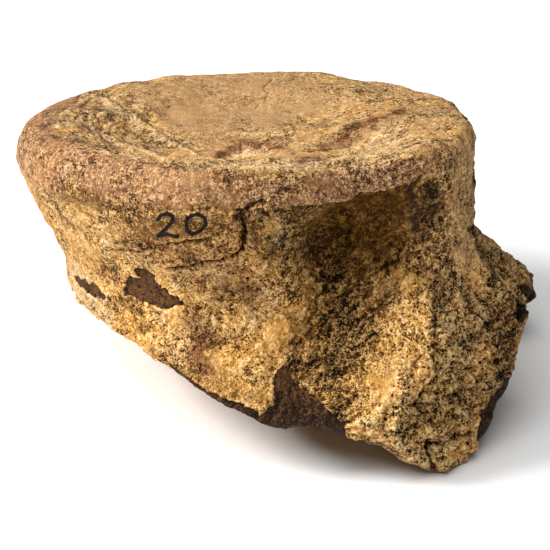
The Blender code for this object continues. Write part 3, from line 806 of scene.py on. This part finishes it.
# Display levels of the pits, the body and the raised grains of each kind of surface
PALETTES = {
    "side": ((52, 29, 8), (193, 141, 73), (242, 202, 140)),
    "golden": ((74, 42, 8), (205, 149, 70), (242, 202, 132)),
    "grey": ((50, 36, 22), (178, 144, 96), (232, 202, 154)),
    "pale": ((84, 60, 36), (194, 153, 100), (240, 208, 158)),
    "tawny": ((38, 19, 6), (136, 88, 44), (210, 162, 106)),
    "canal": ((60, 38, 18), (176, 134, 84), (222, 182, 126)),
    "column": ((22, 12, 4), (126, 86, 40), (248, 200, 130)),
    "rim": ((72, 38, 20), (148, 107, 71), (206, 163, 119)),
    "orange": ((84, 44, 20), (166, 115, 70), (212, 166, 118)),
    "rim_dark": ((34, 18, 8), (124, 85, 52), (210, 168, 124)),
    "dish": ((74, 46, 20), (172, 132, 83), (222, 184, 132)),
    "smooth": ((96, 62, 34), (158, 122, 81), (190, 154, 110)),
    "cream": ((104, 68, 32), (204, 168, 118), (238, 212, 166)),
    "groove": ((40, 27, 20), (114, 86, 63), (174, 142, 103)),
    # Dark brown of the hollow, darker still as painted shade of the rim's overhang
    "hollow": ((9, 5, 0), (70, 41, 3), (140, 99, 32)),
    "valley": ((15, 9, 2), (122, 80, 30), (228, 178, 104)),
    "shade": ((12, 7, 1), (88, 56, 20), (204, 156, 92)),
    # Painted light: a much lighter copy of the bone's colour, for places that the lamps leave in shade
    "painted_light": ((44, 26, 10), (240, 176, 100), (255, 230, 166)),
    "broken": ((18, 10, 4), (214, 154, 82), (255, 222, 156)),
    "under": ((36, 24, 9), (130, 96, 54), (194, 156, 106)),
    "crust": ((66, 40, 14), (188, 147, 95), (226, 196, 148)),
    # Painted shadow: near black, for the shadowed cleft between the stubs and sides turned from the light
    "painted_shadow": ((3, 2, 0), (26, 15, 6), (70, 48, 26)),
    "red": ((30, 13, 5), (98, 57, 32), (150, 102, 66)),
}


def strongest(skin, marks, rough):
    best = np.zeros(len(skin.depth))
    for points, width, strength in marks:
        best = np.maximum(best, strength * stroke(skin, points, width, rough))
    return best


def layers(skin, m):
    """Palette names with their shares, later ones over earlier ones."""
    side, rim, dish, ends = m["side"], m["rim"], m["dish"], m["ends"]
    drift = cloud(skin.local, 0.034, 81, 3)
    other = cloud(skin.local, 0.026, 85, 3)
    blotches = cloud(skin.local, 0.013, 87, 3, 0.7)
    flecks = cloud(skin.local, 0.0065, 89, 2, 0.7)
    lower = smooth(skin.depth, 0.040, 0.075)
    yield "golden", smooth(drift + 0.6 * lower, 0.1, 0.9) * 0.85
    yield "grey", smooth(other - 0.5 * lower, 0.1, 0.9) * 0.7
    yield "pale", smooth(blotches, 0.35, 1.0) * 0.6
    yield "tawny", smooth(-blotches, 0.25, 0.9) * 0.7
    yield "under", m["under"]
    yield "broken", np.clip(m["broken"] + 0.8 * ends, 0.0, 1.0)
    yield "tawny", ends * smooth(flecks + blotches, 0.2, 0.8) * 0.6
    yield "golden", ends * smooth(drift - flecks, 0.2, 0.9) * 0.5
    yield "crust", m["crust"]
    yield "column", m["column"] * (1.0 - ends) * (0.6 + 0.3 * np.clip(other, -1.0, 1.0))
    yield "valley", m["valley"] * (0.75 + 0.25 * np.clip(flecks, -1.0, 1.0))
    yield "shade", (side - 0.5 * m["smooth"]) * smooth(-flecks - 0.6 * blotches, 0.6, 1.2) * 0.5
    yield "shade", ends * smooth(-flecks - 0.5 * blotches, 0.10, 0.8) * 0.8
    yield "golden", m["waist"] * side * 0.4
    # Painted shade of the rim's overhang over the hollow, with the hollow's own dark colour
    painted_hollow_shade = patch(skin, HOLLOW_SHADE, 5.0, 5.0) * side
    yield "hollow", np.maximum(m["hollow"], 0.85 * painted_hollow_shade)
    yield "tawny", m["hollow"] * smooth(flecks, 0.4, 1.0) * 0.4
    yield "tawny", patch(skin, PLATE_SHADE, 8.0, 5.0) * side * 0.75
    # Painted shade at the hollow's right end
    yield "painted_shadow", patch(skin, HOLLOW_END, 5.0, 4.0) * side * 0.9
    yield "canal", patch(skin, FAR_TOP, 3.0, 3.0) * 0.5
    # Painted shade on the far stub's side and painted shadow in the cleft beside it
    yield "shade", patch(skin, FAR_SIDE, 2.0, 2.0) * 0.85
    yield "painted_shadow", np.maximum(0.5 * patch(skin, FAR_SIDE, 3.0, 2.0), 0.9 * patch(skin, FAR_GAP_SHADOW, 2.0, 1.5))
    # Painted shade on the near stub's right edge
    yield "painted_shadow", patch(skin, NEAR_EDGE, 4.0, 3.0) * 0.4
    yield "canal", m["strip"] * 0.9
    yield "golden", patch(skin, STUB_FLANK, 10.0, 7.0) * 0.3
    # Painted light on the near stub's top and tip and on the foot of its flank
    yield "painted_light", patch(skin, STUB_TOP, 12.0, 7.0) * 0.75
    yield "painted_light", patch(skin, STUB_TIP, 8.0, 6.0) * 0.45
    yield "painted_light", patch(skin, FLANK_FOOT, 7.0, 5.0) * 0.8
    yield "rim", rim
    yield "orange", rim * smooth(blotches, 0.0, 0.8) * 0.6
    yield "pale", rim * smooth(-blotches - 0.4 * drift, 0.3, 1.0) * 0.35
    yield "tawny", rim * smooth(flecks, 0.25, 0.8) * 0.55
    darker = smooth(skin.dorsal, -0.35, 0.25) * rim
    yield "rim_dark", darker * (0.66 + 0.3 * np.clip(blotches, -1.0, 1.0))
    yield "dish", dish
    yield "golden", dish * smooth(blotches, 0.0, 0.9) * 0.5
    yield "tawny", dish * smooth(flecks - blotches, 0.5, 1.2) * 0.5
    yield "groove", m["rings"] * smooth(-skin.rings + 0.4 * flecks, 0.25, 0.8) * 0.6
    yield "cream", m["rings"] * smooth(skin.rings, 0.25, 0.80) * 0.6
    yield "smooth", m["smooth"] * 0.8
    yield "cream", m["terrace"] * blend(0.9, 0.5, smooth(skin.column, *TERRACE_PALE_END))
    yield "tawny", m["terrace"] * smooth(-skin.rings + 0.3 * flecks, 0.30, 0.75) * 0.7
    yield "cream", strongest(skin, RIDGES, 1.5) * 0.45
    yield "groove", strongest(skin, GROOVES, 2.5) * 0.8
    # Stains together with painted shade under the rim's overhang, in creases and on sides turned from the
    # light
    yield "shade", strongest(skin, STAINS_AND_PAINTED_SHADE, 4.0)
    yield "red", strongest(skin, RUSTS, 0.6) * (0.8 + 0.4 * np.clip(flecks, -1.0, 0.5))


def palette(name):
    return np.stack([linear(*level) for level in PALETTES[name]])[:, None, :]


def surface_colours(skin, m):
    """Colours of the pits, the body and the raised grains at each vertex."""
    colours = np.repeat(palette("side"), len(skin.depth), axis=1)
    for name, share in layers(skin, m):
        colours = blend(colours, palette(name), np.clip(share, 0.0, 1.0)[None, :, None])
    return dict(zip(("pit", "body", "grain"), colours))


def settle(points, base):
    """Keeps the bone above the floor and its resting places flat on it."""
    resting = 1.0 - smooth(base[:, 2], 0.0006, 0.0030)
    points[:, 2] += (base[:, 2] - points[:, 2]) * resting
    points[:, 2] -= points[:, 2].min()
    points[:, 2] = np.maximum(points[:, 2], 0.0)


# Generic specimen number, inked by hand: strokes in the photo's pixels
NUMBER = (
    [(158, 221), (161, 216), (167, 214), (173, 217), (172, 223), (166, 230), (158, 237), (167, 235),
     (178, 236)],
    [(198, 214), (191, 216), (186, 223), (187, 232), (193, 236), (201, 233), (206, 226), (205, 218),
     (198, 214)],
)
INK_HALF_WIDTH = 1.9            # pixels
REACH_OF_MARKS = 6.0            # pixels over which the distance to a mark's edge is kept
# Painted shade and light from the relief: heights that move the colour from the pits' towards the raised
# grains'
NEAR_RELIEF = 0.0016            # metres above the skin close by that raise the tone by one
WIDE_RELIEF = 0.0038            # the same for the skin farther round


def mark_depths(skin):
    """Distances into the chips and the ink, as shares of the reach: above half is inside."""
    to_lines = [line_distance(skin.column, skin.row, line) for line in NUMBER]
    ink = INK_HALF_WIDTH - np.minimum.reduce(to_lines)
    result = {}
    for name, inside, shown in (("chip", chip_depth(skin), skin.wrapped), ("ink", ink, skin.seen)):
        share = np.clip(0.5 + inside / REACH_OF_MARKS, 0.0, 1.0)
        result[name] = np.minimum(share, shown)
    return result


def relief_shading(skin, m, height):
    """Which of the three colours shows, as painted shade and light: low in pits, high on what stands above
    the skin round it.
    """
    near = height - skin.neighbours.blurred(height, 6)
    wide = height - skin.neighbours.blurred(height, 60)
    raised = np.clip(near / NEAR_RELIEF + wide / WIDE_RELIEF, -0.55, 0.5)
    # Chips near the bottom darker: painted shade
    return 0.60 + raised - 0.35 * m["chip"] * smooth(skin.depth, 0.095, 0.115)


def openness(skin, m):
    """How deep the gaps between the material's own grains show at each vertex."""
    share = smooth(cloud(skin.local, 0.0085, 93, 3, 0.7), 0.05, 0.90)
    share = np.clip(0.10 + 0.9 * share, 0.0, 1.0)
    return share * (1.0 - m["chip"]) * (1.0 - 0.6 * m["smooth"])


def grittiness(skin, m):
    """How strongly the material's own grain shows at each vertex."""
    patchy = 0.85 + 0.45 * np.clip(cloud(skin.local, 0.018, 91, 2), -1.0, 1.0)
    grit = 0.80 * m["side"] + 0.84 * m["rim"] + 0.90 * m["dish"]
    grit = grit * (1.0 - 0.30 * m["smooth"]) * (1.0 - 0.30 * m["hollow"]) * (1.0 + 0.50 * m["harsh"])
    return blend(grit * patchy, 0.55, m["chip"])


def store(mesh, name, values):
    """Keeps one number, or one colour, at each vertex."""
    if values.ndim == 1:
        layer = mesh.attributes.new(name, "FLOAT", "POINT")
        layer.data.foreach_set("value", values.astype(np.float32))
    else:
        layer = mesh.attributes.new(name, "FLOAT_COLOR", "POINT")
        rgba = np.concatenate([values, np.ones((len(values), 1))], axis=1)
        layer.data.foreach_set("color", rgba.astype(np.float32).ravel())


def fossil_bone():
    obj = smooth_skin()
    mesh = obj.data
    skin = Skin(mesh)
    height, m = work_skin(skin)
    points = skin.points + skin.normals * (height - OVERLAP)[:, None]
    across, up = nudged(skin)
    points[:, 0] += across
    points[:, 2] += up
    settle(points, skin.points)
    mesh.vertices.foreach_set("co", points.astype(np.float32).ravel())
    store(mesh, "relief_shading", relief_shading(skin, m, height))
    store(mesh, "grit", grittiness(skin, m))
    store(mesh, "relief", 0.85 + 0.65 * m["harsh"])
    store(mesh, "open", openness(skin, m))
    for name, values in {**surface_colours(skin, m), **mark_depths(skin)}.items():
        store(mesh, name, values)
    mesh.update()
    mesh.shade_smooth()
    mesh.materials.clear()
    mesh.materials.append(bone_material())
    return obj


# ---------------- material

COLOUR_A, COLOUR_B, COLOUR_OUT = 6, 7, 2        # a colour mix node's sockets
# How many of each kind of grain a metre holds
SAND_SCALE = 1250.0
CURL_SCALE = 300.0
FLAKE_SCALE = 480.0
CRUMB_SCALE = 900.0
WARP_SCALE = 500.0
WARP_REACH = 0.0034             # metres that the flakes and crumbs are pushed about by
BUMP_DISTANCE = 0.0013
SHEEN = 0.12
INK_COVER = 0.97


class Tree:
    """Short calls for building a material's nodes."""

    def __init__(self, name):
        self.material = bpy.data.materials.new(name)
        self.material.use_nodes = True
        self.nodes = self.material.node_tree.nodes
        self.links = self.material.node_tree.links
        self.shader = self.nodes["Principled BSDF"]

    def put(self, value, socket):
        if isinstance(value, bpy.types.NodeSocket):
            self.links.new(value, socket)
        else:
            socket.default_value = value

    def node(self, kind, **inputs):
        """A new node, its inputs set or linked by their names, written with _ for each space."""
        node = self.nodes.new("ShaderNode" + kind)
        for name, value in inputs.items():
            self.put(value, node.inputs[name.replace("_", " ")])
        return node

    def attribute(self, name, output="Fac"):
        node = self.node("Attribute")
        node.attribute_name = name
        return node.outputs[output]

    def math(self, operation, *values, kind="Math"):
        node = self.node(kind)
        node.operation = operation
        for value, socket in zip(values, node.inputs):
            self.put(value, socket)
        return node.outputs[0]

    def warped(self, place, scale, amount):
        """Places pushed about by noise, so that what is drawn on them becomes irregular."""
        push = self.node("TexNoise", Vector=place, Scale=scale).outputs["Color"]
        return self.math("MULTIPLY_ADD", push, (amount,) * 3, place, kind="VectorMath")

    def flakes(self, place, scale):
        """A number for each of many small cells, about 0.5: the product turns its colour into one."""
        cell = self.node("TexVoronoi", Vector=place, Scale=scale)
        return self.math("MULTIPLY", cell.outputs["Color"], 1.0)

    def noise(self, place, scale, detail, rough, curl):
        inputs = {"Vector": place, "Scale": scale, "Detail": detail, "Roughness": rough, "Distortion": curl}
        return self.node("TexNoise", **inputs).outputs["Fac"]

    def step(self, value, low, high):
        node = self.node("MapRange", Value=value, From_Min=low, From_Max=high)
        node.interpolation_type = "SMOOTHSTEP"
        return node.outputs["Result"]

    def mix(self, factor, first, second):
        node = self.node("Mix", Factor=factor)
        node.data_type = "RGBA"
        self.put(first, node.inputs[COLOUR_A])
        self.put(second, node.inputs[COLOUR_B])
        return node.outputs[COLOUR_OUT]

    def centred(self, value, strength):
        """A 0-to-1 value moved to swing evenly round 0."""
        return self.math("MULTIPLY_ADD", value, strength, -0.5 * strength)


CHIP_DARK = (*linear(26, 14, 6), 1.0)
CHIP_LIGHT = (*linear(110, 74, 43), 1.0)
INK = (*linear(12, 13, 15), 1.0)


def bone_material():
    tree = Tree("fossil_bone")
    place = tree.node("TexCoord").outputs["Object"]
    sand = tree.noise(place, SAND_SCALE, 1.0, 0.5, 0.3)
    curls = tree.noise(place, CURL_SCALE, 3.0, 0.7, 1.2)
    irregular = tree.warped(place, WARP_SCALE, WARP_REACH)
    flakes = tree.flakes(irregular, FLAKE_SCALE)
    crumbs = tree.flakes(irregular, CRUMB_SCALE)
    veins = tree.step(tree.math("ABSOLUTE", tree.centred(curls, 1.0)), 0.0, 0.06)
    gaps = tree.math("MULTIPLY", tree.math("SUBTRACT", 1.0, veins), tree.attribute("open"))
    grit = tree.attribute("grit")
    specks = tree.centred(sand, 2.6)
    for grain, strength in ((curls, 1.0), (flakes, 0.9), (crumbs, 1.1)):
        specks = tree.math("ADD", specks, tree.centred(grain, strength))
    specks = tree.math("MULTIPLY_ADD", gaps, -1.0, specks)
    # The material's own specks over the painted shade and light from the relief
    factor = tree.math("MULTIPLY_ADD", specks, grit, tree.attribute("relief_shading"))
    colour = tree.mix(tree.step(factor, -0.10, 0.48), tree.attribute("pit", "Color"),
                      tree.attribute("body", "Color"))
    colour = tree.mix(tree.step(factor, 0.50, 1.10), colour, tree.attribute("grain", "Color"))
    ragged = tree.centred(sand, 0.16)
    chip = tree.step(tree.math("ADD", tree.attribute("chip"), ragged), 0.47, 0.53)
    chip_colour = tree.mix(tree.step(factor, 0.0, 1.1), CHIP_DARK, CHIP_LIGHT)
    colour = tree.mix(chip, colour, chip_colour)
    ink = tree.step(tree.math("ADD", tree.attribute("ink"), ragged), 0.46, 0.56)
    colour = tree.mix(tree.math("MULTIPLY", ink, INK_COVER), colour, INK)
    tree.put(colour, tree.shader.inputs["Base Color"])
    rough = tree.math("MULTIPLY_ADD", sand, 0.25, 0.62)
    tree.put(rough, tree.shader.inputs["Roughness"])
    tree.shader.inputs["Specular IOR Level"].default_value = SHEEN
    height = sand
    for grain, share in ((gaps, -0.6), (flakes, 0.6), (crumbs, 0.4)):
        height = tree.math("MULTIPLY_ADD", grain, share, height)
    strength = tree.math("MULTIPLY", grit, tree.attribute("relief"))
    uneven = tree.node("Bump", Strength=strength, Distance=BUMP_DISTANCE, Height=height)
    tree.put(uneven.outputs["Normal"], tree.shader.inputs["Normal"])
    return tree.material


# ---------------- stage, light and camera

FLOOR_SIDE = 12.0
FLOOR_COLOUR = (0.90, 0.90, 0.90)
WORLD_LIGHT = 0.10
# Soft lights: place and side in metres, and power in watts
KEY = ((-2.15, -0.35, 1.90), 0.9, 98.0)
SKY = ((-0.45, -0.95, 2.50), 2.4, 66.0)


def floor():
    bm = bmesh.new()
    bmesh.ops.create_grid(bm, x_segments=1, y_segments=1, size=0.5 * FLOOR_SIDE)
    obj = object_of("floor", bm)
    tree = Tree("floor")
    tree.shader.inputs["Base Color"].default_value = (*FLOOR_COLOUR, 1.0)
    tree.shader.inputs["Roughness"].default_value = 0.9
    tree.shader.inputs["Specular IOR Level"].default_value = 0.0
    obj.data.materials.append(tree.material)


def aimed(obj, place, forward):
    """Puts a light or the camera in its place, looking along forward."""
    obj.location = place
    obj.rotation_euler = Vector(forward).to_track_quat("-Z", "Y").to_euler()


def softbox(name, place, side, power):
    light = bpy.data.lights.new(name, "AREA")
    light.shape = "SQUARE"
    light.size = side
    light.energy = power
    aimed(placed(name, light), place, LOOK_AT - place)


def world():
    light = bpy.data.worlds.new("studio")
    light.use_nodes = True
    background = light.node_tree.nodes["Background"]
    background.inputs["Color"].default_value = (1.0, 1.0, 1.0, 1.0)
    background.inputs["Strength"].default_value = WORLD_LIGHT
    bpy.context.scene.world = light


def camera():
    data = bpy.data.cameras.new("camera")
    data.sensor_fit = "HORIZONTAL"
    data.sensor_width = SENSOR
    data.lens = SENSOR * FOCAL / PHOTO_SIDE
    obj = placed("camera", data)
    aimed(obj, CAMERA_PLACE, camera_axes()[2])
    bpy.context.scene.camera = obj


bone = fossil_bone()
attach(bone, "root")
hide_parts(*frame["nodes"])

floor()
world()
softbox("key", *KEY)
softbox("sky", *SKY)
camera()
bpy.context.scene.view_settings.view_transform = "Standard"
